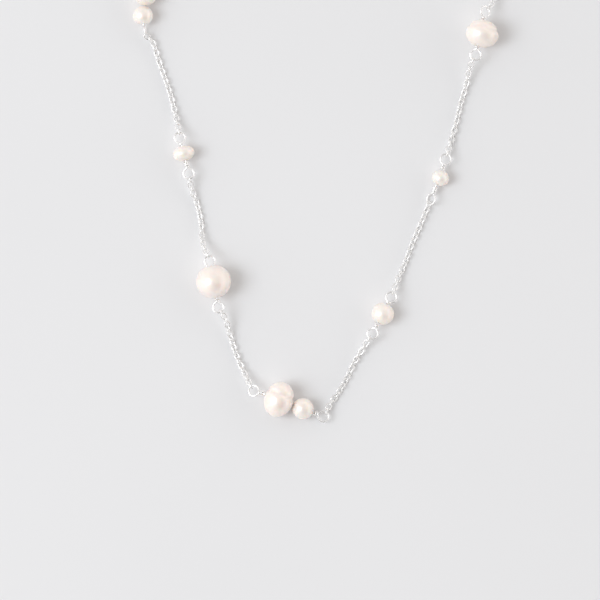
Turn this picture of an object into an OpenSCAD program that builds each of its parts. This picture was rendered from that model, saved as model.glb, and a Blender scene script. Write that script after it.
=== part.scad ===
// Station necklace: pearls on wire-wrapped stations, joined by a fine cable chain.
// It lies opened out on a flat surface at Z = 0, with its front at the low Y side.
// The origin is at the middle of the loop, on that surface. All sizes are in millimetres.

/* [Chain] */
// Diameter of the wire that a link is bent from
link_wire = 0.33; // [0.3:0.01:0.34]
// Length of a link over its round ends
link_length = 2.05; // [2.03:0.01:2.15]
// Width of a link over its sides
link_width = 1.55; // [1.5:0.01:1.62]
// Least clearance between a link and what it hangs in
link_clearance = 0.11; // [0.11:0.01:0.14]
// How slack the chain hangs where it comes down from an eye
slackness = 14; // [8:1:24]

/* [Stations] */
// Diameter of the wire through the pearls
pin_wire = 0.45; // [0.4:0.01:0.46]
// Diameter of the round eye at each end of that wire, over the wire
eye_d = 3.1; // [3:0.05:3.2]
// Clearance round the wire in a pearl's drilled hole
hole_clearance = 0.1; // [0.1:0.01:0.16]
// Gap between two pearls on one wire, and between a pearl and its wrap
pearl_gap = 0.1; // [0.1:0.01:0.2]
// Radius of the hollow round the mouth of a pearl's hole
dimple_r = 1.7; // [1.65:0.05:2]

/* [Clasp] */
// Diameter of the clasp's ring, over its tube
clasp_d = 6.4; // [5.6:0.1:7]
// Diameter of that tube
clasp_tube = 1.1; // [0.9:0.05:1.2]
// Diameter of the plain ring that the clasp takes, over its wire
catch_d = 3.8; // [3.6:0.1:4.2]
// Diameter of the wire of the plain ring and of the clasp's own eye
catch_wire = 0.55; // [0.5:0.05:0.6]

/* [Loop] */
// Half the width of the loop at the back of the neck
back_half_width = 49.5; // [47:0.5:52]
// How far the round back reaches beyond the loop's widest place
back_depth = 30.6; // [28:0.2:34]

/* [Hidden] */

$fn = 48;
pearl_steps = 27;
pearl_turn_fn = 64;
pearl_seam_turn = 20;

// Colours of the pieces
silver = "#d9d9d6";
pearl_white = "#f3e9de";

// Sizes that follow from the ones above
chain_z = link_width / 2 + 0.02;
link_pitch = link_length - 2 * link_wire - link_clearance;
bend_r = (link_width - link_wire) / 2;
side_length = link_length - link_width;
lean = 45;
lean_links = 8;
eye_r = (eye_d - pin_wire) / 2;
turn_pitch = 0.88 * pin_wire;
wrap_r = 0.93 * pin_wire;
neck = pin_wire / 2 + 0.03;
bend_d = 1.02 * pin_wire;
back_middle_y = 45.9;

// Columns of a station: its name, where the wire passes the first pearl, its heading seen from
// above, its two ends and the pearls on it
NAME = 0;
AT = 1;
HEADING = 2;
ENDS = 3;
PEARLS = 4;
BACK = 0;
FRONT = 1;

// Columns of an end: turns of the wrap, then how far it is bent aside and down, and its roll
TURNS = 0;
ASIDE = 1;
DOWN = 2;
ROLL = 3;

// Columns of a pearl: its name, how far its middle lies beside the wire, its diameter, its length
// on its own axis, the turn of that axis from the wire, and its hollows at the back and the front
OFF = 1;
ACROSS = 2;
LONG = 3;
TURN = 4;
DIMPLES = 5;

STATIONS = [
    ["wire_top", [-43.3, 27.2], -91.5, [[3, 0, 8, 0], [1, 9, 0, 90]], [
        ["pearl_top_upper", 0.15, 6, 5.6, 0, [0.15, 0]],
        ["pearl_top_lower", -0.25, 5, 4.8, 0, [0, 0.85]],
    ]],
    ["wire_left_upper", [-33.5, -12.6], -76, [[1, 0, 0, 0], [4, 0, 0, 0]], [
        ["pearl_left_oval", 0, 5.5, 3.9, 0, [0.1, 0.1]],
    ]],
    ["wire_left_lower", [-26, -44.8], -79.7, [[1, 0, 0, 0], [2, 0, 0, 0]], [
        ["pearl_left_large", 0, 8.5, 8.2, 0, [1, 0.15]],
    ]],
    ["wire_front", [-9.75, -74.1], -20.5, [[3, 3, 25, 0], [3, 0, 0, 0]], [
        ["pearl_front_large", 0, 7.4, 9, 90, [0.15, 0]],
        ["pearl_front_small", 0, 5.3, 5.3, 0, [0, 0.1]],
    ]],
    ["wire_right_lower", [16.1, -52.7], 62.8, [[3, 0, 0, 0], [1, 0, 0, 0]], [
        ["pearl_right_round", 0, 5.6, 5.4, 0, [0.1, 0.25]],
    ]],
    ["wire_right_middle", [30.15, -18.6], 69.8, [[5, 0, 12, 40], [3, 0, 0, 0]], [
        ["pearl_right_small", -0.4, 4.4, 4, 0, [0.1, 0.1]],
    ]],
    ["wire_right_upper", [40.5, 17.35], 77.4, [[2, 0, 0, 0], [2, 0, 6, 35]], [
        ["pearl_right_large", -0.5, 8.3, 7, 0, [0.5, 0.5]],
    ]],
];

// Columns of a chain: its name and the places that it passes between its two ends
WAY = 1;
FIRST = 0;
LAST = 1;

// Runs between one station and the next, in order from the top left round the front
RUNS = [
    ["chain_left_upper", [[-41.3, 15.5], [-39.5, 10], [-37, 2.8], [-35.2, -4.5]]],
    ["chain_left_middle", [[-31.6, -21.3], [-30.2, -25], [-29.2, -29.5], [-28.8, -34.7]]],
    ["chain_left_lower", [[-22.9, -54.2], [-21.6, -59], [-19.8, -64.2], [-17.9, -68.3]]],
    ["chain_right_lower", [[2.9, -75.2], [5.1, -72.1], [7, -68.9], [9.1, -64.6], [11.5, -60.7]]],
    ["chain_right_middle", [[20, -43.7], [21.8, -39.6], [23.4, -35.2], [25.6, -30.1]]],
    ["chain_right_upper", [[33.1, -9.6], [34.4, -5.2], [35.8, 0.5], [37, 4.6], [37.9, 9]]],
];

// Places on the round back, an arc of an ellipse, from one angle to another
function back_arc(from, to, count) = [
    for (i = [0 : count])
        let (a = from + (to - from) * i / count)
        [back_half_width * cos(a), back_middle_y + back_depth * sin(a)]
];
back_right = ["chain_back_right", concat([[43.6, 25.3], [47, 33]], back_arc(-8, 76, 5))];
back_left = ["chain_back_left", concat(back_arc(110, 176, 5), [[-47.2, 41]])];

// Columns of a ring that a chain hangs in: its middle, the normal of its plane, the radius of its
// wire's middle line and the diameter of that wire
MIDDLE = 0;
NORMAL = 1;
RING_R = 2;
RING_WIRE = 3;

// Vectors
function unit(v) = v / norm(v);
function flat(v) = [v.x, v.y];
function pitched(v, a) = [v.x * cos(a) + v.z * sin(a), v.y, v.z * cos(a) - v.x * sin(a)];
function yawed(v, a) = [v.x * cos(a) - v.y * sin(a), v.x * sin(a) + v.y * cos(a), v.z];
function turned(v, down, aside) = yawed(pitched(v, down), aside);
function azimuth(v) = atan2(v.y, v.x);
function elevation(v) = atan2(v.z, norm(flat(v)));

// Where the pearls of a station sit on its wire, and how the wire then lies
function reach(pearl) = (pearl[TURN] == 0 ? pearl[LONG] : pearl[ACROSS]) / 2;
function along(station, i) =
    i == 0 ? 0 : reach(station[PEARLS][0]) + pearl_gap + reach(station[PEARLS][1]);
function tilt(station) =
    len(station[PEARLS]) == 1 ? 0
    : asin((station[PEARLS][0][ACROSS] - station[PEARLS][1][ACROSS]) / 2 / along(station, 1));
function wire_z(station) = max([
    for (i = [0 : len(station[PEARLS]) - 1])
        station[PEARLS][i][ACROSS] / 2 + along(station, i) * sin(tilt(station))
]);
function wire_at(station) = [station[AT].x, station[AT].y, wire_z(station)];

// Where the wire of a station comes clear of the hole at one end, and the wrap and eye beyond it
function mouth(station, end) =
    end == BACK
    ? station[PEARLS][0][DIMPLES][BACK] - reach(station[PEARLS][0]) - pearl_gap
    : let (last = len(station[PEARLS]) - 1, pearl = station[PEARLS][last])
      along(station, last) + reach(pearl) - pearl[DIMPLES][FRONT] + pearl_gap;
function lead(end) = pearl_gap + (wrap_r + pin_wire / 2) * sin(max(abs(end[ASIDE]), abs(end[DOWN])));
function wrap_end(end) = lead(end) + end[TURNS] * turn_pitch;
function eye_reach(end) = wrap_end(end) + neck + eye_r;

// A ring that a chain can hang in
function eye(station, side) =
    let (end = station[ENDS][side])
    let (aside = end[ASIDE] + (side == BACK ? 180 : 0))
    let (place = [mouth(station, side), 0, 0] + turned([eye_reach(end), 0, 0], end[DOWN], aside))
    let (normal = turned([0, -sin(end[ROLL]), cos(end[ROLL])], end[DOWN], aside))
    [
        wire_at(station) + turned(place, tilt(station), station[HEADING]),
        turned(normal, tilt(station), station[HEADING]),
        eye_r,
        pin_wire,
    ];

// The clasp lies flat at the very back, held up by the plain ring that stands in it
catch_z = catch_d / 2 + 0.02;
clasp_z = 0.02 + catch_wire + link_clearance + clasp_tube / 2;
clasp_r = (clasp_d - clasp_tube) / 2;
clasp_eye_d = 2.6;
clasp_eye_r = (clasp_eye_d - catch_wire) / 2;
clasp_y = back_middle_y + back_depth;
clasp_x = -1.5;
clasp_eye_x = clasp_x - clasp_d / 2 - clasp_eye_d / 2 + 0.7 * catch_wire;
catch_r = (catch_d - catch_wire) / 2;
catch_eye = [[clasp_x + clasp_r, clasp_y, catch_z], [0, 1, 0], catch_r, catch_wire];
clasp_eye = [[clasp_eye_x, clasp_y, clasp_z], [0, 0, 1], clasp_eye_r, catch_wire];

// A smooth curve through points
function between(a, b, c, d, t) =
    0.5 * (2 * b + (c - a) * t + (2 * a - 5 * b + 4 * c - d) * t * t
    + (3 * b - a - 3 * c + d) * t * t * t);
function smooth(points, steps = 8) = let (last = len(points) - 1) concat([
    for (i = [0 : last - 1], k = [0 : steps - 1])
        between(points[max(i - 1, 0)], points[i], points[i + 1], points[min(i + 2, last)], k / steps)
], [points[last]]);

// Distance travelled at each point of a path, and the point at a distance
function travelled(path) = [
    for (i = 0, s = 0; i < len(path); s = s + (i + 1 < len(path) ? norm(path[i + 1] - path[i]) : 0),
        i = i + 1) s
];
function point_at(path, dist, s) = [
    for (axis = [0 : 2]) lookup(s, [for (i = [0 : len(path) - 1]) [dist[i], path[i][axis]]])
];

// How far the chain runs as it comes down from height z, and how high it still is at distance s
function span(z) = max(sqrt(2 * slackness * max(z - chain_z, 0)), 1);
function sag(z, s) = (z - chain_z) * pow(max(1 - s / span(z), 0), 2);

// How far the chain has settled at distance s from its end, where its links lean over
function settled(s) = bend_r * (1 - cos(lean * min(s / lean_links / link_pitch, 1)));

// Direction in which the chain leaves a point for a place, down the first of its sag
function leaving(point, toward) =
    let (on = unit(flat(toward) - flat(point)), slope = 2 * (point.z - chain_z) / span(point.z))
    unit([on.x, on.y, -slope]);

// Where a link takes hold of a ring on its way to a place: just inside the ring's wire
function hold(ring, way) =
    ring[MIDDLE] + ring[RING_R] * unit(way - (way * ring[NORMAL]) * ring[NORMAL]);
function grip(ring, toward) =
    let (at = hold(ring, leaving(ring[MIDDLE], toward)))
    at - (ring[RING_WIRE] + link_clearance) / 2 * leaving(at, toward);

// Points where the links of a run take hold of each other, from one ring to the next
function joints(way, from, to) =
    let (a = grip(from, way[0]), b = grip(to, way[len(way) - 1]))
    let (plan = smooth(concat([flat(a)], way, [flat(b)])), run = travelled(plan))
    let (whole = run[len(run) - 1])
    let (path = [
        for (i = [0 : len(plan) - 1])
            let (rest_z = chain_z - settled(min(run[i], whole - run[i])))
            [plan[i].x, plan[i].y, rest_z + sag(a.z, run[i]) + sag(b.z, whole - run[i])]
    ])
    let (dist = travelled(path), total = dist[len(dist) - 1], count = ceil(total / link_pitch))
    [for (i = [0 : count]) point_at(path, dist, total * i / count)];

// Turn about its own length at which a link stands square to a ring
function square_to(ring, forward) =
    let (side = unit([-forward.y, forward.x, 0]), over = cross(unit(forward), side))
    let (t = cross(ring[NORMAL], forward))
    atan2(-(t * side), t * over);
function least_turn(a, step) = a - step * round(a / step);

// How far the links at each end of a run turn on their way to leaning half over, so that both ends
// come to the same alternation by the smaller turns
function leans(first_turn, last_turn) =
    let (near = least_turn(lean - first_turn, 90), other = near > 0 ? near - 90 : near + 90)
    let (near_last = least_turn(first_turn + near - last_turn, 180))
    let (other_last = least_turn(first_turn + other - last_turn, 180))
    max(abs(near), abs(near_last)) <= max(abs(other), abs(other_last))
    ? [near, near_last]
    : [other, other_last];

// One link, its length along X and its plane XY
module link() {
    for (end = [-1, 1])
        translate([end * side_length / 2, 0, 0])
            rotate([0, 0, -90 * end])
                rotate_extrude(angle = 180, $fn = 32)
                    translate([bend_r, 0])
                        circle(d = link_wire, $fn = 16);
    for (side = [-1, 1])
        translate([-side_length / 2, side * bend_r, 0])
            rotate([0, 90, 0])
                cylinder(d = link_wire, h = side_length, $fn = 16);
}

// A run of links, each a quarter turn from the last. The first and the last stand square to what
// they hang in, and between them the links come to lie leaning half over, to one side and the other
module chain(way, from, to) {
    points = joints(way, from, to);
    last = len(points) - 2;
    first_turn = square_to(from, points[1] - points[0]);
    last_turn = square_to(to, points[last + 1] - points[last]) - 90 * last;
    turn_on = leans(first_turn, last_turn);
    color(silver)
        for (i = [0 : last])
            let (way_on = points[i + 1] - points[i])
            let (turn = i < last / 2
                ? first_turn + turn_on[FIRST] * min(i / lean_links, 1)
                : last_turn + turn_on[LAST] * min((last - i) / lean_links, 1))
            translate((points[i] + points[i + 1]) / 2)
                rotate([0, -elevation(way_on), azimuth(way_on)])
                    rotate([turn + 90 * i, 0, 0])
                        link();
}

// Puts what follows on a station's wire, its length along X
module on_wire(station) {
    translate(wire_at(station))
        rotate([0, tilt(station), station[HEADING]])
            children();
}

// A drilled pearl, hollowed a little round the mouths of its hole
module pearl(station, i) {
    row = station[PEARLS][i];
    middle = along(station, i);
    hole_d = pin_wire + 2 * hole_clearance;
    color(pearl_white)
        on_wire(station)
            translate([middle, 0, 0])
                difference() {
                    translate([0, row[OFF], 0])
                        rotate([0, 90, row[TURN]])
                            rotate([0, 0, pearl_seam_turn])
                            rotate_extrude($fn = pearl_turn_fn)
                                polygon([
                                    for (k = [0 : pearl_steps])
                                        let (a = 180 * k / pearl_steps - 90)
                                        [row[ACROSS] / 2 * abs(cos(a)), row[LONG] / 2 * sin(a)]
                                ]);
                    translate([-row[LONG], 0, 0])
                        rotate([0, 90, 0])
                            cylinder(d = hole_d, h = 2 * row[LONG]);
                    for (side = [BACK, FRONT])
                        if (row[DIMPLES][side] > 0)
                            let (out = reach(row) - row[DIMPLES][side] + dimple_r)
                            translate([side == BACK ? -out : out, 0, 0])
                                sphere(r = dimple_r);
                }
}

// One end of a station's wire: a wrap of close turns round the wire, and a round eye
module wrapped_end(end) {
    if (end[ASIDE] != 0 || end[DOWN] != 0)
        sphere(d = bend_d);
    rotate([0, 90, 0])
        rotate_extrude() {
            square([pin_wire / 2, wrap_end(end) + neck]);
            for (k = [0 : end[TURNS] - 1])
                translate([wrap_r, lead(end) + (k + 0.5) * turn_pitch])
                    circle(d = pin_wire, $fn = 24);
        }
    translate([eye_reach(end), 0, 0])
        rotate([end[ROLL], 0, 0])
            rotate_extrude()
                translate([eye_r, 0])
                    circle(d = pin_wire, $fn = 24);
}

// The wire of a station, with its wraps and eyes, all one piece
module station_wire(station) {
    back = mouth(station, BACK);
    front = mouth(station, FRONT);
    color(silver)
        on_wire(station) {
            translate([back, 0, 0])
                rotate([0, 90, 0])
                    cylinder(d = pin_wire, h = front - back);
            for (side = [BACK, FRONT])
                let (end = station[ENDS][side])
                translate([side == BACK ? back : front, 0, 0])
                    rotate([0, end[DOWN], end[ASIDE] + (side == BACK ? 180 : 0)])
                        wrapped_end(end);
        }
}

// The plain ring at the end of the chain, which the clasp takes
module catch_ring() {
    color(silver)
        translate(catch_eye[MIDDLE])
            rotate([90, 0, 0])
                rotate_extrude()
                    translate([catch_r, 0])
                        circle(d = catch_wire, $fn = 24);
}

// The clasp: a plain ring of tube with its own small eye, all one piece
module clasp() {
    color(silver) {
        translate([clasp_x, clasp_y, clasp_z])
            rotate_extrude()
                translate([clasp_r, 0])
                    circle(d = clasp_tube, $fn = 32);
        translate(clasp_eye[MIDDLE])
            rotate_extrude()
                translate([clasp_eye_r, 0])
                    circle(d = catch_wire, $fn = 24);
    }
}

for (station = STATIONS) {
    station_wire(station);
    for (i = [0 : len(station[PEARLS]) - 1])
        pearl(station, i);
}
for (i = [0 : len(RUNS) - 1])
    chain(RUNS[i][WAY], eye(STATIONS[i], FRONT), eye(STATIONS[i + 1], BACK));
chain(back_right[WAY], eye(STATIONS[len(STATIONS) - 1], FRONT), catch_eye);  // chain_back_right
chain(back_left[WAY], clasp_eye, eye(STATIONS[0], BACK));  // chain_back_left
catch_ring();
clasp();
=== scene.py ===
"""Looks of a station necklace: pearls on wire-wrapped stations and a fine cable chain.

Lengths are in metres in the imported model's frame, unless a name or a table says millimetres.
"""

import logging
import math
from dataclasses import dataclass, field
from enum import Enum
from typing import Any

import bmesh
import bpy
import numpy as np
from mathutils import Matrix, Quaternion, Vector


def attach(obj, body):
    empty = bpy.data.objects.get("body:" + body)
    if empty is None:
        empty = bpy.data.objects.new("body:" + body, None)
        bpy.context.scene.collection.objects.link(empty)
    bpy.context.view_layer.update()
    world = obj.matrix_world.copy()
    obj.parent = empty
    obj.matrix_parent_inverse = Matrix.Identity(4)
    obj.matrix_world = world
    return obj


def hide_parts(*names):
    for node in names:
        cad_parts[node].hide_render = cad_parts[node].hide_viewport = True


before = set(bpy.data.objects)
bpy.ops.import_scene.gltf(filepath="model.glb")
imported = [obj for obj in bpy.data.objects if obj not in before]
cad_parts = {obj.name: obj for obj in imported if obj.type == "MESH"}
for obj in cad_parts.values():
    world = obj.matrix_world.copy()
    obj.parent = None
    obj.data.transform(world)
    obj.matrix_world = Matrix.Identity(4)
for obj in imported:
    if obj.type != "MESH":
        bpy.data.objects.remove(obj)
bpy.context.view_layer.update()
LOG = logging.getLogger("necklace")
MM = 0.001
BODY = "root"
MM_PATTERN = (1 / MM,) * 3


class Side(Enum):
    """The two ends of a station, as the chain passes it."""

    BACK = 0
    FRONT = 1


class Slot(Enum):
    """The record's material slots."""

    PEARL = "pearl"
    STATION = "station_silver"
    CHAIN = "chain_silver"
    CLASP = "clasp_silver"


# Node trees


@dataclass
class TreeBuilder:
    """Adds nodes to one tree and joins their sockets."""

    tree: bpy.types.NodeTree

    def add(self, kind: str, sockets: dict[Any, Any] | None = None, **settings: Any) -> bpy.types.Node:
        """Adds one node.

        Args:
            kind: Blender's name of the node type.
            sockets: Values, or sockets to join, by input name or number.
            settings: Properties of the node itself.

        Returns:
            The new node.
        """
        node = self.tree.nodes.new(kind)
        for name, value in settings.items():
            setattr(node, name, value)
        for name, value in (sockets or {}).items():
            if isinstance(value, bpy.types.NodeSocket):
                self.tree.links.new(value, node.inputs[name])
            else:
                node.inputs[name].default_value = value
        return node

    def maths(self, operation: str, first: Any, second: Any = 0.0) -> bpy.types.NodeSocket:
        """Adds one sum of numbers or sockets and returns the socket that holds its result."""
        return self.add("ShaderNodeMath", {0: first, 1: second}, operation=operation).outputs[0]

    def spread(
        self, value: Any, given: tuple[float, float], wanted: tuple[Any, Any], smooth: bool = False
    ) -> bpy.types.NodeSocket:
        """Moves a value from one range to another.

        Args:
            value: The socket that holds it.
            given: The range it has.
            wanted: The range it gets.
            smooth: Whether it eases in and out.

        Returns:
            The socket that holds the result.
        """
        ends = {1: given[0], 2: given[1], 3: wanted[0], 4: wanted[1]}
        kind = "SMOOTHSTEP" if smooth else "LINEAR"
        return self.add("ShaderNodeMapRange", {0: value, **ends}, interpolation_type=kind).outputs[0]


@dataclass
class ShapeRecipe:
    """A Geometry Nodes tree with named inputs, used on one mesh at a time."""

    name: str
    sizes: dict[str, str]
    builder: TreeBuilder = field(init=False)
    sockets: dict[str, str] = field(init=False)
    given: bpy.types.Node = field(init=False)

    def __post_init__(self) -> None:
        """Makes the tree with its inputs and its output."""
        tree = bpy.data.node_groups.new(self.name, "GeometryNodeTree")
        tree.interface.new_socket("Geometry", in_out="INPUT", socket_type="NodeSocketGeometry")
        self.sockets = {}
        for name, kind in self.sizes.items():
            made = tree.interface.new_socket(name, in_out="INPUT", socket_type=f"NodeSocket{kind}")
            self.sockets[name] = made.identifier
        tree.interface.new_socket("Geometry", in_out="OUTPUT", socket_type="NodeSocketGeometry")
        self.builder = TreeBuilder(tree)
        self.given = tree.nodes.new("NodeGroupInput")

    def close(self, geometry: bpy.types.NodeSocket) -> None:
        """Ends the tree in smooth shading, real geometry and its finish.

        Args:
            geometry: The socket that holds what the tree has made.
        """
        smooth = self.builder.add("GeometryNodeSetShadeSmooth", {"Geometry": geometry})
        real = self.builder.add("GeometryNodeRealizeInstances", {"Geometry": smooth.outputs[0]})
        done = self.builder.add(
            "GeometryNodeSetMaterial",
            {"Geometry": real.outputs[0], "Material": self.given.outputs["Finish"]},
        )
        self.builder.add("NodeGroupOutput", {0: done.outputs[0]})

    def apply(self, piece: bpy.types.Object, values: dict[str, Any]) -> bpy.types.Object:
        """Runs the tree on a piece and keeps the result as its plain mesh.

        Args:
            piece: The object that holds the starting mesh.
            values: A value for each named input.

        Returns:
            The same object with its new mesh.
        """
        modifier = piece.modifiers.new(self.name, "NODES")
        modifier.node_group = self.builder.tree
        for name, value in values.items():
            modifier[self.sockets[name]] = value
        graph = bpy.context.evaluated_depsgraph_get()
        mesh = bpy.data.meshes.new_from_object(piece.evaluated_get(graph))
        piece.modifiers.remove(modifier)
        piece.data = mesh
        mesh.name = piece.name
        return piece


def bent_wire_recipe() -> ShapeRecipe:
    """Makes the tree that gives a line of points a round wire.

    Returns:
        The recipe, whose mesh holds the line and a "thickness" for each point.
    """
    recipe = ShapeRecipe("bent_wire", {"Wire Diameter": "Float", "Sides": "Int", "Finish": "Material"})
    b, given = recipe.builder, recipe.given.outputs
    line = b.add("GeometryNodeMeshToCurve", {"Mesh": given["Geometry"]})
    half = b.maths("MULTIPLY", given["Wire Diameter"], 0.5)
    ring = b.add("GeometryNodeCurvePrimitiveCircle", {"Resolution": given["Sides"], "Radius": half})
    thickness = b.add("GeometryNodeInputNamedAttribute", {"Name": "thickness"}, data_type="FLOAT")
    sockets = {
        "Curve": line.outputs[0],
        "Profile Curve": ring.outputs[0],
        "Scale": thickness.outputs[0],
        "Fill Caps": True,
    }
    recipe.close(b.add("GeometryNodeCurveToMesh", sockets).outputs[0])
    return recipe


def link_run_recipe() -> ShapeRecipe:
    """Makes the tree that puts a bent link at each point of a run.

    Returns:
        The recipe, whose mesh holds a point and a "turn" for each link.
    """
    recipe = ShapeRecipe(
        "link_run",
        {
            "Link Length": "Float",
            "Link Width": "Float",
            "Wire Diameter": "Float",
            "Sides": "Int",
            "Loose Turn": "Float",
            "Seed": "Int",
            "Finish": "Material",
        },
    )
    b, given = recipe.builder, recipe.given.outputs
    long = b.maths("SUBTRACT", given["Link Length"], given["Wire Diameter"])
    wide = b.maths("SUBTRACT", given["Link Width"], given["Wire Diameter"])
    box = b.add("GeometryNodeCurvePrimitiveQuadrilateral", {"Width": long, "Height": wide})
    almost_half, corner_steps = 0.4999, 3
    round_ends = b.add(
        "GeometryNodeFilletCurve",
        {
            "Curve": box.outputs[0],
            "Count": corner_steps,
            "Radius": b.maths("MULTIPLY", wide, almost_half),
            "Limit Radius": True,
        },
        mode="POLY",
    )
    edge = b.add("GeometryNodeCurveToMesh", {"Curve": round_ends.outputs[0]})
    merged = b.add("GeometryNodeMergeByDistance", {"Geometry": edge.outputs[0], "Distance": 0.01 * MM})
    line = b.add("GeometryNodeMeshToCurve", {"Mesh": merged.outputs[0]})
    half = b.maths("MULTIPLY", given["Wire Diameter"], 0.5)
    ring = b.add("GeometryNodeCurvePrimitiveCircle", {"Resolution": given["Sides"], "Radius": half})
    link = b.add("GeometryNodeCurveToMesh", {"Curve": line.outputs[0], "Profile Curve": ring.outputs[0]})
    turn = b.add("GeometryNodeInputNamedAttribute", {"Name": "turn"}, data_type="QUATERNION")
    least = b.maths("MULTIPLY", given["Loose Turn"], -1.0)
    chance = b.add(
        "FunctionNodeRandomValue",
        {2: least, 3: given["Loose Turn"], "Seed": given["Seed"]},
        data_type="FLOAT",
    )
    roll = b.add("FunctionNodeAxisAngleToRotation", {"Axis": (1.0, 0.0, 0.0), "Angle": chance.outputs[1]})
    both = b.add(
        "FunctionNodeRotateRotation",
        {"Rotation": turn.outputs[0], "Rotate By": roll.outputs[0]},
        rotation_space="LOCAL",
    )
    sockets = {"Points": given["Geometry"], "Instance": link.outputs[0], "Rotation": both.outputs[0]}
    recipe.close(b.add("GeometryNodeInstanceOnPoints", sockets).outputs[0])
    return recipe


def nacre_growth_recipe() -> ShapeRecipe:
    """Makes the tree that lays nacre unevenly on a pearl's skin.

    Returns:
        The recipe, whose mesh holds a "skin" weight for each point.
    """
    recipe = ShapeRecipe(
        "nacre_growth",
        {
            "Lump Height": "Float",
            "Lump Scale": "Float",
            "Ripple Height": "Float",
            "Ripple Scale": "Float",
            "Seed": "Float",
            "Finish": "Material",
        },
    )
    b, given = recipe.builder, recipe.given.outputs
    skin = b.add("GeometryNodeInputNamedAttribute", {"Name": "skin"}, data_type="FLOAT")
    heights = []
    for part, detail in (("Lump", 0.0), ("Ripple", 1.0)):
        noise = b.add(
            "ShaderNodeTexNoise",
            {"W": given["Seed"], "Scale": given[f"{part} Scale"], "Detail": detail},
            noise_dimensions="4D",
        )
        centred = b.maths("SUBTRACT", noise.outputs[0], 0.5)
        heights.append(b.maths("MULTIPLY", centred, given[f"{part} Height"]))
    height = b.maths("MULTIPLY", b.maths("ADD", *heights), skin.outputs[0])
    normal = b.add("GeometryNodeInputNormal")
    offset = b.add("ShaderNodeVectorMath", {0: normal.outputs[0], "Scale": height}, operation="SCALE")
    moved = b.add("GeometryNodeSetPosition", {"Geometry": given["Geometry"], "Offset": offset.outputs[0]})
    recipe.close(moved.outputs[0])
    return recipe


# Finishes of nacre, silver and table


@dataclass(frozen=True)
class NacreFinish:
    """Cream nacre: a soft milky body under a satin gloss.

    Its tone drifts from rose to pale in soft clouds, and a finer bloom varies tone and gloss.
    """

    name: str = "nacre"
    cream: tuple[float, float, float] = (0.932, 0.832, 0.77)
    rose: tuple[float, float, float] = (0.936, 0.818, 0.762)
    pale: tuple[float, float, float] = (0.932, 0.85, 0.797)
    mouth: tuple[float, float, float] = (0.62, 0.52, 0.43)
    roughness: tuple[float, float] = (0.3, 0.38)
    tone_places: tuple[float, float, float] = (0.34, 0.5, 0.7)
    bloom_range: tuple[float, float] = (0.3, 0.7)
    bloom_tone: tuple[float, float] = (0.985, 1.01)
    mouth_share: float = 0.7

    def material(self) -> bpy.types.Material:
        """Makes the material.

        Returns:
            The material, patterned in millimetres on Object coordinates.
        """
        made = bpy.data.materials.new(self.name)
        made.use_nodes = True
        b = TreeBuilder(made.node_tree)
        shader = made.node_tree.nodes["Principled BSDF"]
        where = b.add("ShaderNodeTexCoord").outputs["Object"]
        place = b.add("ShaderNodeMapping", {"Vector": where, "Scale": MM_PATTERN}).outputs[0]
        clouds = b.add(
            "ShaderNodeTexNoise",
            {"Vector": place, "Scale": 0.22, "Detail": 2.0, "Roughness": 0.5},
        )
        body = b.add("ShaderNodeValToRGB", {"Fac": clouds.outputs[0]})
        ramp = body.color_ramp
        low, middle, high = self.tone_places
        ramp.elements[0].position, ramp.elements[0].color = low, (*self.rose, 1.0)
        ramp.elements[1].position, ramp.elements[1].color = high, (*self.pale, 1.0)
        ramp.elements.new(middle).color = (*self.cream, 1.0)
        bloom = b.add(
            "ShaderNodeTexNoise",
            {"Vector": place, "Scale": 1.4, "Detail": 3.0, "Roughness": 0.55},
        )
        soft = b.spread(bloom.outputs[0], self.bloom_range, self.bloom_tone)
        tinted = b.add("ShaderNodeVectorMath", {0: body.outputs[0], "Scale": soft}, operation="SCALE")
        # The colour turns darker and browner round each mouth of the hole and all through the bore
        near = b.add("ShaderNodeAttribute", attribute_name="mouth")
        share = b.maths("MULTIPLY", near.outputs["Fac"], self.mouth_share)
        rim = b.add("ShaderNodeMix", {0: share, 4: tinted.outputs[0], 5: self.mouth}, data_type="VECTOR")
        b.tree.links.new(rim.outputs[1], shader.inputs["Base Color"])
        satin = b.spread(bloom.outputs[0], self.bloom_range, self.roughness)
        b.tree.links.new(satin, shader.inputs["Roughness"])
        grain = b.add("ShaderNodeTexNoise", {"Vector": place, "Scale": 3.0, "Detail": 2.0, "Roughness": 0.5})
        bump = b.add("ShaderNodeBump", {"Strength": 0.03, "Distance": 0.05 * MM, "Height": grain.outputs[0]})
        b.tree.links.new(bump.outputs[0], shader.inputs["Normal"])
        for socket, value in {
            "IOR": 1.95,
            "Specular IOR Level": 1.0,
            "Subsurface Weight": 0.85,
            "Subsurface Radius": (1.0, 0.78, 0.62),
            "Subsurface Scale": 0.0025,
            "Coat Weight": 0.15,
            "Coat Roughness": 0.16,
            "Coat IOR": 1.6,
            "Sheen Weight": 0.1,
            "Sheen Roughness": 0.35,
            "Sheen Tint": (1.0, 0.88, 0.85, 1.0),
        }.items():
            shader.inputs[socket].default_value = value
        return made


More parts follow.
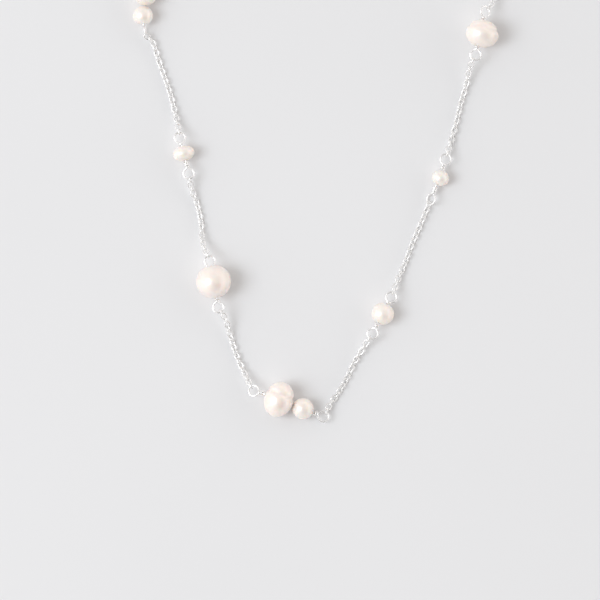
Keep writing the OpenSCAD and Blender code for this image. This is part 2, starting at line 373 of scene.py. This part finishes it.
@dataclass(frozen=True)
class SilverFinish:
    """Polished silver with faint handling marks, a shade duller in patches."""

    slot: Slot
    colour: tuple[float, float, float] = (0.98, 0.975, 0.965)
    metal: float = 0.72
    roughness: tuple[float, float] = (0.2, 0.33)
    mark_scale: float = 2.2
    mark_range: tuple[float, float] = (0.35, 0.65)
    dull_places: tuple[float, float] = (0.32, 0.62)
    dull: float = 0.93

    def material(self) -> bpy.types.Material:
        """Makes the material.

        Returns:
            The material, patterned in millimetres on Object coordinates.
        """
        made = bpy.data.materials.new(self.slot.value)
        made.use_nodes = True
        b = TreeBuilder(made.node_tree)
        shader = made.node_tree.nodes["Principled BSDF"]
        shader.inputs["Metallic"].default_value = self.metal
        where = b.add("ShaderNodeTexCoord").outputs["Object"]
        place = b.add("ShaderNodeMapping", {"Vector": where, "Scale": MM_PATTERN}).outputs[0]
        cloud = b.add("ShaderNodeTexNoise", {"Vector": place, "Scale": self.mark_scale, "Detail": 3.0})
        wear = b.spread(cloud.outputs[0], self.mark_range, self.roughness)
        b.tree.links.new(wear, shader.inputs["Roughness"])
        tone = b.add("ShaderNodeValToRGB", {"Fac": cloud.outputs[0]})
        ends = tone.color_ramp.elements
        ends[0].position, ends[1].position = self.dull_places
        ends[0].color = (*(self.dull * c for c in self.colour), 1.0)
        ends[1].color = (*self.colour, 1.0)
        b.tree.links.new(tone.outputs[0], shader.inputs["Base Color"])
        scratches = b.add(
            "ShaderNodeTexNoise",
            {"Vector": place, "Scale": 14.0, "Detail": 2.0, "Roughness": 0.6, "Distortion": 0.4},
        )
        bump = b.add(
            "ShaderNodeBump",
            {"Strength": 0.1, "Distance": 0.02 * MM, "Height": scratches.outputs[0]},
        )
        b.tree.links.new(bump.outputs[0], shader.inputs["Normal"])
        return made


@dataclass(frozen=True)
class TableFinish:
    """The plain pale surface that the necklace lies on."""

    colour: tuple[float, float, float] = (0.795, 0.8, 0.805)
    cloud: float = 0.985

    def material(self) -> bpy.types.Material:
        """Makes the material.

        Returns:
            A matt material with a barely uneven tone.
        """
        made = bpy.data.materials.new("pale_table")
        made.use_nodes = True
        b = TreeBuilder(made.node_tree)
        shader = made.node_tree.nodes["Principled BSDF"]
        where = b.add("ShaderNodeTexCoord").outputs["Object"]
        cloud = b.add("ShaderNodeTexNoise", {"Vector": where, "Scale": 9.0, "Detail": 2.0})
        tone = b.add("ShaderNodeValToRGB", {"Fac": cloud.outputs[0]})
        ends = tone.color_ramp.elements
        ends[0].position, ends[0].color = 0.3, (*(self.cloud * c for c in self.colour), 1.0)
        ends[1].position, ends[1].color = 0.7, (*self.colour, 1.0)
        b.tree.links.new(tone.outputs[0], shader.inputs["Base Color"])
        shader.inputs["Roughness"].default_value = 0.7
        shader.inputs["Specular IOR Level"].default_value = 0.2
        return made


# The pieces, station by station


@dataclass(frozen=True)
class Workshop:
    """The recipes and finishes that the pieces share."""

    wire: ShapeRecipe
    links: ShapeRecipe
    growth: ShapeRecipe
    nacre: bpy.types.Material
    silver: dict[Slot, bpy.types.Material]


def new_piece(name: str, mesh: bpy.types.Mesh) -> bpy.types.Object:
    """Puts a mesh into the scene as an object at the origin.

    Args:
        name: The piece's name.
        mesh: Its mesh, already in the frame.

    Returns:
        The object.
    """
    piece = bpy.data.objects.new(name, mesh)
    bpy.context.scene.collection.objects.link(piece)
    return piece


def settle(piece: bpy.types.Object, nodes: list[str]) -> None:
    """Makes a finished piece stand for its CAD nodes.

    Args:
        piece: The piece, in place.
        nodes: The CAD nodes that it replaces.
    """
    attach(piece, BODY)
    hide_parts(*nodes)
    LOG.info("%s: %d faces", piece.name, len(piece.data.polygons))


def line_mesh(name: str, runs: list[np.ndarray], closed: bool, thin_ends: int = 0) -> bpy.types.Mesh:
    """Makes a mesh of bare lines.

    Args:
        name: The mesh's name.
        runs: Points of each line, in metres.
        closed: Whether each line returns to its start.
        thin_ends: How many points at an open end the wire is rounded off over.

    Returns:
        The mesh with a "thickness" for each point.
    """
    points: list[tuple[float, ...]] = []
    edges: list[tuple[int, int]] = []
    thickness: list[float] = []
    for run in runs:
        first, count = len(points), len(run)
        points.extend(tuple(p) for p in run)
        edges.extend((first + i, first + i + 1) for i in range(count - 1))
        if closed:
            edges.append((first + count - 1, first))
        for i in range(count):
            step = min(i, count - 1 - i) + 0.5
            share = 1.0 if closed or step > thin_ends else step / thin_ends
            thickness.append(math.sqrt(1.0 - (1.0 - share) ** 2))
    mesh = bpy.data.meshes.new(name)
    mesh.from_pydata(points, edges, [])
    mesh.attributes.new("thickness", "FLOAT", "POINT").data.foreach_set("value", thickness)
    return mesh


@dataclass(frozen=True)
class WireEnd:
    """One end of a station's wire: turns of the wrap and how it is bent, in degrees."""

    turns: int
    aside: float
    down: float
    roll: float
    vee: float = 0.2


@dataclass(frozen=True)
class PearlPlan:
    """One pearl, in millimetres: its size, its place beside the wire and how uneven it is.

    A groove round it is given by its place on the pearl's own length and its depth.
    """

    name: str
    off: float
    across: float
    long: float
    crosswise: bool
    hollows: tuple[float, float]
    lump: float
    seed: float
    groove: tuple[float, float] = (0.0, 0.0)

    def reach(self) -> float:
        """Half the pearl's length on the wire."""
        return (self.across if self.crosswise else self.long) / 2


@dataclass(frozen=True)
class StationPlan:
    """One station, in millimetres and degrees, with the pearls in order along its wire."""

    name: str
    at: tuple[float, float]
    heading: float
    ends: tuple[WireEnd, WireEnd]
    pearls: tuple[PearlPlan, ...]

    def along(self, i: int, gap: float) -> float:
        """Distance of a pearl's middle from the first one's, with this gap between the two."""
        return 0.0 if i == 0 else self.pearls[0].reach() + gap + self.pearls[1].reach()

    def matrix(self, gap: float) -> Matrix:
        """The place of the station's wire.

        Args:
            gap: The gap between two pearls.

        Returns:
            The matrix from the wire's frame, its length along X, to the model's.
        """
        tilt = 0.0
        if len(self.pearls) == 2:
            drop = (self.pearls[0].across - self.pearls[1].across) / 2
            tilt = math.asin(drop / self.along(1, gap))
        height = max(p.across / 2 + self.along(i, gap) * math.sin(tilt) for i, p in enumerate(self.pearls))
        return (
            Matrix.Translation((*self.at, height))
            @ Matrix.Rotation(math.radians(self.heading), 4, "Z")
            @ Matrix.Rotation(tilt, 4, "Y")
        )


@dataclass(frozen=True)
class StationWire:
    """The wire of a station: through its pearls, and at each end bent to an eye and wrapped back.

    Lengths are in millimetres. The bend's room, the pitches and the crossing's rise count in wire
    diameters. The crossing is an angle in radians round the eye, the coil's start one in degrees.
    """

    plan: StationPlan
    wire: float = 0.45
    eye_r: float = 1.325
    gap: float = 0.1
    sides: int = 10
    step: float = 0.09
    bend_room: float = 1.43
    wrap_pitch: float = 0.88
    spare: float = 0.03
    core_steps: int = 6
    core_least: float = 0.05
    core_short: float = 0.12
    eye_steps: int = 40
    crossing: float = 4.2
    crossing_rise: float = 0.32
    coil_steps: int = 20
    coil_back: float = 0.08
    coil_spare: float = 0.12
    coil_least: float = 0.16
    coil_pitch: float = 0.96
    coil_start: float = 95.0
    coil_ease: float = 0.15
    least_turns: float = 0.62

    def lead(self, end: WireEnd) -> float:
        """Length of bare wire before the wrap of an end."""
        bent = max(abs(end.aside), abs(end.down))
        return self.gap + self.bend_room * self.wire * math.sin(math.radians(bent))

    def mouth(self, side: Side) -> float:
        """Finds where the wire comes clear of its pearls at one end.

        Args:
            side: The end.

        Returns:
            The place on the wire, from the first pearl's middle.
        """
        pearls = self.plan.pearls
        if side is Side.BACK:
            return pearls[0].hollows[0] - pearls[0].reach() - self.gap
        last = len(pearls) - 1
        return self.plan.along(last, self.gap) + pearls[last].reach() - pearls[last].hollows[1] + self.gap

    def end_matrix(self, side: Side) -> Matrix:
        """The place of one end's wrap and eye on the station's wire.

        Args:
            side: The end.

        Returns:
            The matrix from the end's frame, its length along X, to the wire's.
        """
        end = self.plan.ends[side.value]
        aside = end.aside + (180.0 if side is Side.BACK else 0.0)
        return (
            Matrix.Translation((self.mouth(side), 0.0, 0.0))
            @ Matrix.Rotation(math.radians(aside), 4, "Z")
            @ Matrix.Rotation(math.radians(end.down), 4, "Y")
            @ Matrix.Rotation(math.radians(end.roll), 4, "X")
        )

    def end_path(self, end: WireEnd) -> list[Vector]:
        """The way of the wire from a mouth round the eye and back in close turns.

        Args:
            end: The turns and bends of this end.

        Returns:
            Corner points in millimetres, the core first and the cut tail last.
        """
        lead = self.lead(end)
        near = lead + end.turns * self.wrap_pitch * self.wire + self.wire / 2 + self.spare
        centre = near + self.eye_r
        tip = near - end.vee
        first = math.acos(self.eye_r / (centre - tip))
        last = 2 * math.pi - first
        core_end = max(tip - self.core_short, self.core_least)
        points = [Vector((x, 0.0, 0.0)) for x in np.linspace(0.0, core_end, self.core_steps)]
        for angle in np.linspace(first, last, self.eye_steps):
            lift = max(0.0, (angle - self.crossing) / (last - self.crossing))
            x = centre - self.eye_r * math.cos(angle)
            rise = self.crossing_rise * self.wire * lift * lift
            points.append(Vector((x, self.eye_r * math.sin(angle), rise)))
        return points + self.coil(tip - self.coil_back, lead + self.wire / 2)

    def coil(self, start: float, finish: float) -> list[Vector]:
        """The close turns of an end round the core, up to the cut tail.

        Args:
            start: Where the wire comes down to the core behind the eye.
            finish: Where the last turn may end, next to the pearl.

        Returns:
            Corner points in millimetres.
        """
        room = start - self.coil_spare - finish
        turns = max(self.least_turns, room / (self.coil_pitch * self.wire))
        finish = min(finish, start - self.coil_least)
        steps = round(turns * self.coil_steps)
        points = []
        for k in range(steps + 1):
            share = k / steps
            angle = math.radians(self.coil_start) - 2 * math.pi * turns * share
            done = share * (1.0 - self.coil_ease) + self.coil_ease * min(1.0, share * 4)
            x = start + (finish - start) * done
            points.append(Vector((x, self.wire * math.cos(angle), self.wire * math.sin(angle))))
        return points

    def path(self) -> np.ndarray:
        """The whole wire.

        Returns:
            Evenly spaced points in metres in the model's frame.
        """
        back, front = (
            [self.end_matrix(side) @ p for p in self.end_path(self.plan.ends[side.value])] for side in Side
        )
        station = self.plan.matrix(self.gap)
        whole = np.array([station @ p for p in [*reversed(back), *front]], float)
        return smooth_line(whole, self.step) * MM

    def build(self, shop: Workshop) -> bpy.types.Object:
        """Makes the wire and its finish.

        Args:
            shop: The shared recipes and finishes.

        Returns:
            The piece, which stands for the station's CAD wire.
        """
        name = self.plan.name.replace("wire_", "bent_wire_")
        piece = new_piece(name, line_mesh(name, [self.path()], closed=False, thin_ends=3))
        shop.wire.apply(
            piece,
            {"Wire Diameter": self.wire * MM, "Sides": self.sides, "Finish": shop.silver[Slot.STATION]},
        )
        settle(piece, [self.plan.name])
        return piece


def smooth_line(corners: np.ndarray, step: float) -> np.ndarray:
    """Rounds a line off and spaces its points evenly.

    Args:
        corners: Points of the line.
        step: Distance between the points of the result.

    Returns:
        The rounded line, with the same ends.
    """
    line = corners
    for size in (step / 2, step):
        gaps = np.linalg.norm(np.diff(line, axis=0), axis=1)
        travelled = np.concatenate([[0.0], np.cumsum(gaps)])
        places = np.linspace(0.0, travelled[-1], max(2, round(travelled[-1] / size)) + 1)
        line = np.stack([np.interp(places, travelled, line[:, k]) for k in range(3)], axis=1)
        for _ in range(3):
            line[1:-1] = 0.25 * line[:-2] + 0.5 * line[1:-1] + 0.25 * line[2:]
    return line


@dataclass(frozen=True)
class Pearl:
    """A drilled pearl: an uneven skin, hollowed a little round its hole.

    Lengths are in millimetres. A ball of hollow_r presses in each mouth, and the rings of points crowd
    there. The groove and the unevenness fade out towards the wire.
    """

    station: StationPlan
    number: int
    gap: float = 0.1
    hole_r: float = 0.325
    hollow_r: float = 1.7
    rings: int = 60
    turns: int = 72
    lumps: float = 0.55
    ripple: float = 0.02
    ripples: float = 900.0
    skin_fade: tuple[float, float] = (0.5, 0.8)
    groove_width: float = 0.6
    groove_fade: tuple[float, float] = (0.6, 0.8)
    mouth_width: float = 0.22
    crowding: float = 0.045
    hollow_edge: float = 0.98
    hollow_blend: float = 0.14
    bore_play: float = 0.012
    bore_set_in: float = 0.08

    @property
    def plan(self) -> PearlPlan:
        """The sizes of this pearl."""
        return self.station.pearls[self.number]

    def hollowed(self, x: np.ndarray, rho: np.ndarray, hollow: float) -> np.ndarray:
        """Presses the skin in round one mouth.

        Args:
            x: Distance of the skin from the pearl's middle, towards that mouth.
            rho: Distance of the skin from the wire.
            hollow: Depth of the hollow.

        Returns:
            The distances after pressing.
        """
        inside = np.sqrt(np.maximum(self.hollow_r**2 - rho**2, 0.0))
        limit = self.plan.reach() - hollow + self.hollow_r - inside
        blend = self.hollow_blend
        near = np.clip(0.5 + 0.5 * (limit - x) / blend, 0.0, 1.0)
        pressed = limit * (1 - near) + x * near - blend * near * (1 - near)
        return np.where((x > 0) & (rho < self.hollow_edge * self.hollow_r), pressed, x)

    def faded(self, rho: np.ndarray, fade: tuple[float, float]) -> np.ndarray:
        """Share that grows from 0 to 1 with the distance from the wire, from a start over a length."""
        return np.clip((rho - fade[0]) / fade[1], 0.0, 1.0)

    def grooved(self, outside: np.ndarray, way: np.ndarray) -> np.ndarray:
        """Sinks the groove between two lobes into the skin, and keeps it off the mouths.

        Args:
            outside: Points of the skin.
            way: Each point's direction from the pearl's middle.

        Returns:
            The points after it.
        """
        at, depth = self.plan.groove
        along = outside[..., 1 if self.plan.crosswise else 0]
        rho = np.linalg.norm(outside[..., 1:], axis=2)
        sunk = np.exp(-(((along - at) / self.groove_width) ** 2))
        inward = depth * sunk * self.faded(rho, self.groove_fade)
        return outside - way * inward[..., None]

    def skin(self) -> tuple[np.ndarray, np.ndarray]:
        """The grid of points round the wire, outside and then back through the hole.

        Returns:
            Points in millimetres on the station's wire, ring by ring, and each point's distance
            from the wire.
        """
        p = self.plan
        radii = np.array([p.reach(), (p.long if p.crosswise else p.across) / 2, p.across / 2])
        least = math.atan2(self.hole_r, p.reach())
        share = np.linspace(0.0, 1.0, self.rings)
        eased = share - self.crowding * np.sin(2 * math.pi * share)
        polar = least + (math.pi - 2 * least) * eased
        around = np.arange(self.turns) * 2 * math.pi / self.turns
        way = np.stack(
            [
                np.repeat(np.cos(polar)[:, None], self.turns, axis=1),
                np.sin(polar)[:, None] * np.cos(around)[None, :],
                np.sin(polar)[:, None] * np.sin(around)[None, :],
            ],
            axis=2,
        )
        a = ((way / radii) ** 2).sum(axis=2)
        half_b = -way[..., 1] * p.off / radii[1] ** 2
        c = (p.off / radii[1]) ** 2 - 1.0
        outside = way * ((-half_b + np.sqrt(half_b**2 - a * c)) / a)[..., None]
        outside = self.grooved(outside, way)
        rho = np.linalg.norm(outside[..., 1:], axis=2)
        outside[..., 0] = self.hollowed(outside[..., 0], rho, p.hollows[1])
        outside[..., 0] = -self.hollowed(-outside[..., 0], rho, p.hollows[0])
        outside[..., 1:] *= np.maximum(self.hole_r / rho, 1.0)[..., None]
        for edge in (0, -1):
            outside[edge, :, 1:] *= (self.hole_r / np.linalg.norm(outside[edge, :, 1:], axis=1))[:, None]
            outside[edge, :, 0] = outside[edge, :, 0].mean()
        bore_r = self.hole_r - self.bore_play
        wall = []
        for k in (0.0, 0.5, 1.0):
            x = (outside[-1, 0, 0] + self.bore_set_in) * (1 - k) + (outside[0, 0, 0] - self.bore_set_in) * k
            wall.append(
                np.stack([np.full(self.turns, x), bore_r * np.cos(around), bore_r * np.sin(around)], axis=1)
            )
        points = np.concatenate([outside, np.stack(wall)])
        points[..., 0] += self.station.along(self.number, self.gap)
        return points, np.linalg.norm(points[..., 1:], axis=2)

    def build(self, shop: Workshop) -> bpy.types.Object:
        """Makes the pearl and its finish.

        Args:
            shop: The shared recipes and finishes.

        Returns:
            The piece, which stands for the CAD pearl.
        """
        name = self.plan.name + "_nacre"
        points, rho = self.skin()
        rows, turns = rho.shape
        place = np.array(self.station.matrix(self.gap))
        flat = points.reshape(-1, 3) @ place[:3, :3].T + place[:3, 3]
        near, far = np.arange(rows)[:, None] * turns, (np.arange(rows)[:, None] + 1) % rows * turns
        here, there = np.arange(turns)[None, :], (np.arange(turns)[None, :] + 1) % turns
        corners = (near + here, near + there, far + there, far + here)
        faces = np.stack(corners, axis=2).reshape(-1, 4).tolist()
        mesh = bpy.data.meshes.new(name)
        mesh.from_pydata((flat * MM).tolist(), [], faces)
        outer = np.arange(rows) < self.rings
        fade = self.faded(rho, self.skin_fade) * outer[:, None]
        # Share of the darker, browner colour: full in the bore, fading out over mouth_width round each mouth
        rim = np.clip(1.0 - (rho - self.hole_r) / self.mouth_width, 0.0, 1.0)
        mouth = np.where(outer[:, None], rim, 1.0)
        for label, values in (("skin", fade), ("mouth", mouth)):
            mesh.attributes.new(label, "FLOAT", "POINT").data.foreach_set("value", values.ravel())
        face_outwards(mesh)
        piece = new_piece(name, mesh)
        shop.growth.apply(
            piece,
            {
                "Lump Height": self.plan.lump * MM,
                "Lump Scale": self.lumps / (self.plan.across * MM),
                "Ripple Height": self.ripple * MM,
                "Ripple Scale": self.ripples,
                "Seed": self.plan.seed,
                "Finish": shop.nacre,
            },
        )
        settle(piece, [self.plan.name])
        return piece


def face_outwards(mesh: bpy.types.Mesh) -> None:
    """Turns the faces of a closed mesh outwards.

    Args:
        mesh: The mesh to mend.
    """
    work = bmesh.new()
    work.from_mesh(mesh)
    bmesh.ops.recalc_face_normals(work, faces=work.faces)
    work.to_mesh(mesh)
    work.free()


def separate_shells(mesh: bpy.types.Mesh, digits: int = 6) -> list[np.ndarray]:
    """Splits a mesh of loose triangles into its closed shells.

    Args:
        mesh: The mesh, which isn't changed.
        digits: Decimals of a metre to which corners that meet agree.

    Returns:
        For each shell, the three corners of each of its triangles.
    """
    corners = np.zeros(len(mesh.vertices) * 3)
    mesh.vertices.foreach_get("co", corners)
    mesh.calc_loop_triangles()
    triangles = np.zeros(len(mesh.loop_triangles) * 3, int)
    mesh.loop_triangles.foreach_get("vertices", triangles)
    points, same = np.unique(np.round(corners.reshape(-1, 3), digits), axis=0, return_inverse=True)
    triangles = same.reshape(-1)[triangles].reshape(-1, 3)
    label = np.arange(len(points))
    while True:
        least = label[triangles].min(axis=1)
        joined = label.copy()
        for k in range(3):
            np.minimum.at(joined, triangles[:, k], least)
        joined = joined[joined]
        if (joined == label).all():
            break
        label = joined
    group = label[triangles[:, 0]]
    return [points[triangles[group == one]] for one in np.unique(group)]


@dataclass(frozen=True)
class LinkRun:
    """A run of cable chain whose links lie where the CAD run's links lie."""

    node: str
    seed: int
    length: float = 2.08
    width: float = 1.6
    wire: float = 0.36
    sides: int = 6
    loose_turn: float = 6.0

    def places(self) -> tuple[np.ndarray, list[Quaternion]]:
        """Finds each link of the CAD run.

        Returns:
            The middle of each link in metres, and its turn, with its length along X and its plane XY.
        """
        middles, turns = [], []
        for t in separate_shells(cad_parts[self.node].data):
            area = np.linalg.norm(np.cross(t[:, 1] - t[:, 0], t[:, 2] - t[:, 0]), axis=1)
            centres = t.mean(axis=1)
            middle = (centres * area[:, None]).sum(axis=0) / area.sum()
            away = centres - middle
            spread = (away * area[:, None]).T @ away
            axes = np.linalg.eigh(spread)[1]
            along, normal = axes[:, 2], axes[:, 0]
            turn = Matrix(np.stack([along, np.cross(normal, along), normal], axis=1).tolist())
            middles.append(middle)
            turns.append(turn.to_quaternion())
        return np.array(middles), turns

    def build(self, shop: Workshop) -> bpy.types.Object:
        """Makes the run and its finish.

        Args:
            shop: The shared recipes and finishes.

        Returns:
            The piece, which stands for the CAD run.
        """
        middles, turns = self.places()
        name = self.node.replace("chain_", "links_")
        mesh = bpy.data.meshes.new(name)
        mesh.from_pydata(middles.tolist(), [], [])
        turn = mesh.attributes.new("turn", "QUATERNION", "POINT")
        turn.data.foreach_set("value", [part for q in turns for part in q])
        piece = new_piece(name, mesh)
        shop.links.apply(
            piece,
            {
                "Link Length": self.length * MM,
                "Link Width": self.width * MM,
                "Wire Diameter": self.wire * MM,
                "Sides": self.sides,
                "Loose Turn": math.radians(self.loose_turn),
                "Seed": self.seed,
                "Finish": shop.silver[Slot.CHAIN],
            },
        )
        settle(piece, [self.node])
        LOG.info("%s: %d links", name, len(turns))
        return piece


@dataclass(frozen=True)
class RoundTube:
    """A closed round ring of tube, in millimetres."""

    middle: tuple[float, float, float]
    radius: float
    tube: float
    upright: bool = False
    points: int = 72

    def line(self) -> np.ndarray:
        """The tube's middle line.

        Returns:
            Points in metres.
        """
        angle = np.arange(self.points) * 2 * math.pi / self.points
        flat = np.stack([np.cos(angle), np.sin(angle), 0 * angle], axis=1) * self.radius
        if self.upright:
            flat = flat[:, [0, 2, 1]]
        return (flat + np.array(self.middle)) * MM


@dataclass(frozen=True)
class Closure:
    """The clasp with its own small eye, and the plain ring that it takes."""

    clasp: RoundTube = RoundTube((-1.5, 76.5, 1.23), 2.65, 1.1)
    clasp_eye: RoundTube = RoundTube((-5.615, 76.5, 1.23), 1.025, 0.55)
    catch: RoundTube = RoundTube((1.15, 76.5, 1.92), 1.625, 0.55, upright=True)
    sides: int = 20

    def ring(self, name: str, tube: RoundTube, shop: Workshop) -> bpy.types.Object:
        """Makes one ring.

        Args:
            name: The piece's name.
            tube: The ring's sizes.
            shop: The shared recipes and finishes.

        Returns:
            The piece.
        """
        piece = new_piece(name, line_mesh(name, [tube.line()], closed=True))
        return shop.wire.apply(
            piece,
            {"Wire Diameter": tube.tube * MM, "Sides": self.sides, "Finish": shop.silver[Slot.CLASP]},
        )

    def build(self, shop: Workshop) -> None:
        """Makes the clasp and the catch ring.

        Args:
            shop: The shared recipes and finishes.
        """
        settle(self.ring("catch_ring_polished", self.catch, shop), ["catch_ring"])
        body = self.ring("clasp_polished", self.clasp, shop)
        eye = self.ring("clasp_own_eye", self.clasp_eye, shop)
        settle(body, ["clasp"])
        settle(eye, ["clasp"])


STATIONS = (
    StationPlan(
        "wire_top",
        (-43.3, 27.2),
        -91.5,
        (WireEnd(3, 0, 8, 0), WireEnd(1, 9, 0, 90)),
        (
            PearlPlan("pearl_top_upper", 0.15, 6, 5.6, False, (0.15, 0), 0.30, 1.3),
            PearlPlan("pearl_top_lower", -0.25, 5, 4.8, False, (0, 0.85), 0.22, 2.9),
        ),
    ),
    StationPlan(
        "wire_left_upper",
        (-33.5, -12.6),
        -76,
        (WireEnd(1, 0, 0, 0), WireEnd(4, 0, 0, 0)),
        (PearlPlan("pearl_left_oval", 0, 5.5, 3.9, False, (0.1, 0.1), 0.26, 4.1),),
    ),
    StationPlan(
        "wire_left_lower",
        (-26, -44.8),
        -79.7,
        (WireEnd(1, 0, 0, 0, 0.8), WireEnd(2, 0, 0, 0)),
        (PearlPlan("pearl_left_large", 0, 8.5, 8.2, False, (1, 0.15), 0.42, 5.7),),
    ),
    StationPlan(
        "wire_front",
        (-9.75, -74.1),
        -20.5,
        (WireEnd(3, 3, 25, 0), WireEnd(3, 0, 0, 0)),
        (
            PearlPlan("pearl_front_large", 0, 7.4, 9, True, (0.15, 0), 0.36, 6.2, (1.3, 0.3)),
            PearlPlan("pearl_front_small", 0, 5.3, 5.3, False, (0, 0.1), 0.22, 7.7),
        ),
    ),
    StationPlan(
        "wire_right_lower",
        (16.1, -52.7),
        62.8,
        (WireEnd(3, 0, 0, 0), WireEnd(1, 0, 0, 0)),
        (PearlPlan("pearl_right_round", 0, 5.6, 5.4, False, (0.1, 0.25), 0.24, 8.4),),
    ),
    StationPlan(
        "wire_right_middle",
        (30.15, -18.6),
        69.8,
        (WireEnd(5, 0, 12, 40), WireEnd(3, 0, 0, 0)),
        (PearlPlan("pearl_right_small", -0.4, 4.4, 4, False, (0.1, 0.1), 0.20, 9.6),),
    ),
    StationPlan(
        "wire_right_upper",
        (40.5, 17.35),
        77.4,
        (WireEnd(2, 0, 0, 0), WireEnd(2, 0, 6, 35)),
        (PearlPlan("pearl_right_large", -0.5, 8.3, 7, False, (0.5, 0.5), 0.40, 10.2, (1.5, 0.3)),),
    ),
)
CHAINS = (
    "chain_left_upper",
    "chain_left_middle",
    "chain_left_lower",
    "chain_right_lower",
    "chain_right_middle",
    "chain_right_upper",
    "chain_back_right",
    "chain_back_left",
)


# Table, light, room and camera


@dataclass(frozen=True)
class Studio:
    """The pale table, one large soft light from the left, the room round them and the camera.

    Angles are in degrees, lengths in metres. The glow and the dark are patches round a direction, and
    their ranges are the cosines between which they grow.
    """

    table_size: float = 6.0
    aim: tuple[float, float, float] = (-0.0045, -0.04906, 0.0)
    camera_height: float = 86.0
    camera_distance: float = 1.6
    lens: float = 385.0
    light_height: float = 52.0
    light_turn: float = 8.0
    light_distance: float = 2.1
    light_size: tuple[float, float] = (1.0, 1.1)
    light_power: float = 17.8
    light_tint: tuple[float, float, float] = (0.96, 1.005, 1.065)
    walls: tuple[float, float, float] = (0.86, 0.78, 1.62)
    ceiling: float = 0.55
    ceiling_range: tuple[float, float] = (0.35, 0.9)
    glow_side: tuple[float, float, float] = (-0.8, -0.1, 0.59)
    glow: float = 0.38
    glow_range: tuple[float, float] = (0.6, 0.92)
    dim_side: tuple[float, float, float] = (0.37, -0.64, 0.67)
    dim_share: float = 0.9
    dim_range: tuple[float, float] = (0.8, 0.95)
    room_tint: tuple[float, float, float] = (1.0, 0.97, 0.953)

    def build(self) -> None:
        """Makes the table, the light, the room and the camera."""
        half = self.table_size / 2
        corners = [(-half, -half, 0), (half, -half, 0), (half, half, 0), (-half, half, 0)]
        mesh = bpy.data.meshes.new("table")
        mesh.from_pydata(corners, [], [(0, 1, 2, 3)])
        mesh.materials.append(TableFinish().material())
        new_piece("table", mesh)

        scene = bpy.context.scene
        scene.world = self.room()
        scene.view_settings.view_transform = "Standard"

        lamp = bpy.data.lights.new("soft_window", "AREA")
        lamp.shape = "RECTANGLE"
        lamp.size, lamp.size_y = self.light_size
        lamp.energy = self.light_power
        lamp.color = self.light_tint
        up, turn = math.radians(self.light_height), math.radians(self.light_turn)
        toward = Vector((-math.cos(up) * math.cos(turn), -math.cos(up) * math.sin(turn), math.sin(up)))
        self.place(bpy.data.objects.new("soft_window", lamp), toward, self.light_distance)

        lens = bpy.data.cameras.new("camera")
        lens.lens, lens.sensor_width = self.lens, 36.0
        lens.clip_start, lens.clip_end = 0.01, 20.0
        tip = math.radians(self.camera_height)
        camera = bpy.data.objects.new("camera", lens)
        self.place(camera, Vector((0.0, -math.cos(tip), math.sin(tip))), self.camera_distance)
        scene.camera = camera

    def room(self) -> bpy.types.World:
        """Makes the light of a pale room: bright walls, a dimmer ceiling, a window and a dark side.

        Returns:
            The world, whose walls have a brightness at the left, the middle and the right.
        """
        world = bpy.data.worlds.new("soft_room")
        world.use_nodes = True
        b = TreeBuilder(world.node_tree)
        toward = b.add("ShaderNodeTexCoord").outputs["Object"]
        way = b.add("ShaderNodeSeparateXYZ", {0: toward}).outputs
        left, middle, right = self.walls
        sides = b.spread(way["X"], (-1.0, 0.0), (left, middle))
        wall = b.maths("ADD", sides, b.spread(way["X"], (0.0, 1.0), (0.0, right - middle)))
        high = b.spread(way["Z"], self.ceiling_range, (0.0, 1.0), smooth=True)
        light = b.add("ShaderNodeMix", {"Factor": high, "A": wall, "B": self.ceiling})
        window = b.add("ShaderNodeVectorMath", {0: toward, 1: self.glow_side}, operation="DOT_PRODUCT")
        lit = b.spread(window.outputs["Value"], self.glow_range, (0.0, self.glow), smooth=True)
        near = b.add("ShaderNodeVectorMath", {0: toward, 1: self.dim_side}, operation="DOT_PRODUCT")
        dim = b.spread(near.outputs["Value"], self.dim_range, (1.0, 1.0 - self.dim_share))
        room = b.maths("MULTIPLY", light.outputs[0], dim)
        sky = world.node_tree.nodes["Background"]
        sky.inputs["Color"].default_value = (*self.room_tint, 1.0)
        b.tree.links.new(b.maths("ADD", room, lit), sky.inputs["Strength"])
        return world

    def place(self, thing: bpy.types.Object, toward: Vector, distance: float) -> None:
        """Puts a light or a camera at a distance from the aim, and turns it back to it.

        Args:
            thing: The light or camera.
            toward: Direction from the aim to it.
            distance: How far it stands.
        """
        thing.location = Vector(self.aim) + toward * distance
        thing.rotation_euler = (-toward).to_track_quat("-Z", "Y").to_euler()
        bpy.context.scene.collection.objects.link(thing)


def main() -> None:
    """Builds the necklace piece by piece, then the studio."""
    shop = Workshop(
        bent_wire_recipe(),
        link_run_recipe(),
        nacre_growth_recipe(),
        NacreFinish().material(),
        {slot: SilverFinish(slot).material() for slot in (Slot.STATION, Slot.CHAIN, Slot.CLASP)},
    )
    for station in STATIONS:
        StationWire(station).build(shop)
        for number in range(len(station.pearls)):
            Pearl(station, number).build(shop)
    for seed, node in enumerate(CHAINS):
        LinkRun(node, seed).build(shop)
    Closure().build(shop)
    Studio().build()


if __name__ == "__main__":
    logging.basicConfig(level=logging.INFO, format="%(name)s: %(message)s")
    main()
